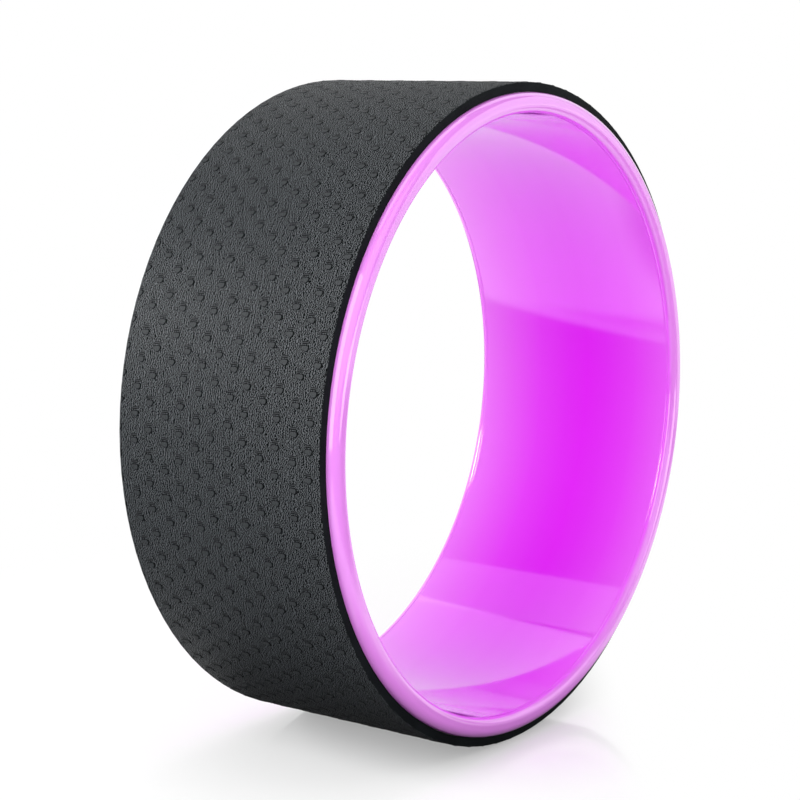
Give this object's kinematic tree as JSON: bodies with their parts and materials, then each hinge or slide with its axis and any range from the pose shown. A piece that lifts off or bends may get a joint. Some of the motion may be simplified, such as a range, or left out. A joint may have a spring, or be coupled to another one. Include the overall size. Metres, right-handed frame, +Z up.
{
  "type": "yoga wheel",
  "caption": "Upright yoga wheel: a glossy moulded plastic hoop with proud rounded rims and an embossed dark foam tread pad glued round its outside.",
  "frame": {"origin": "centre of the wheel, on the hoop's axis, halfway between its two rims", "axes": "+Y along the hoop's axis, +Z up as the wheel stands on its tread, +X along the floor in the rolling direction"},
  "size_m": [0.33, 0.128, 0.33],
  "materials": {
    "core_plastic": "glossy moulded magenta plastic",
    "adhesive": "double-sided adhesive film, pale and slightly cloudy",
    "tread_foam": "matt dark grey closed-cell foam with a fine leather grain and raised anti-slip pips"
  },
  "bodies": {
    "root": {"core_hoop": "core_plastic", "adhesive_film": "adhesive", "tread_pad": "tread_foam"}
  },
  "joints": []
}
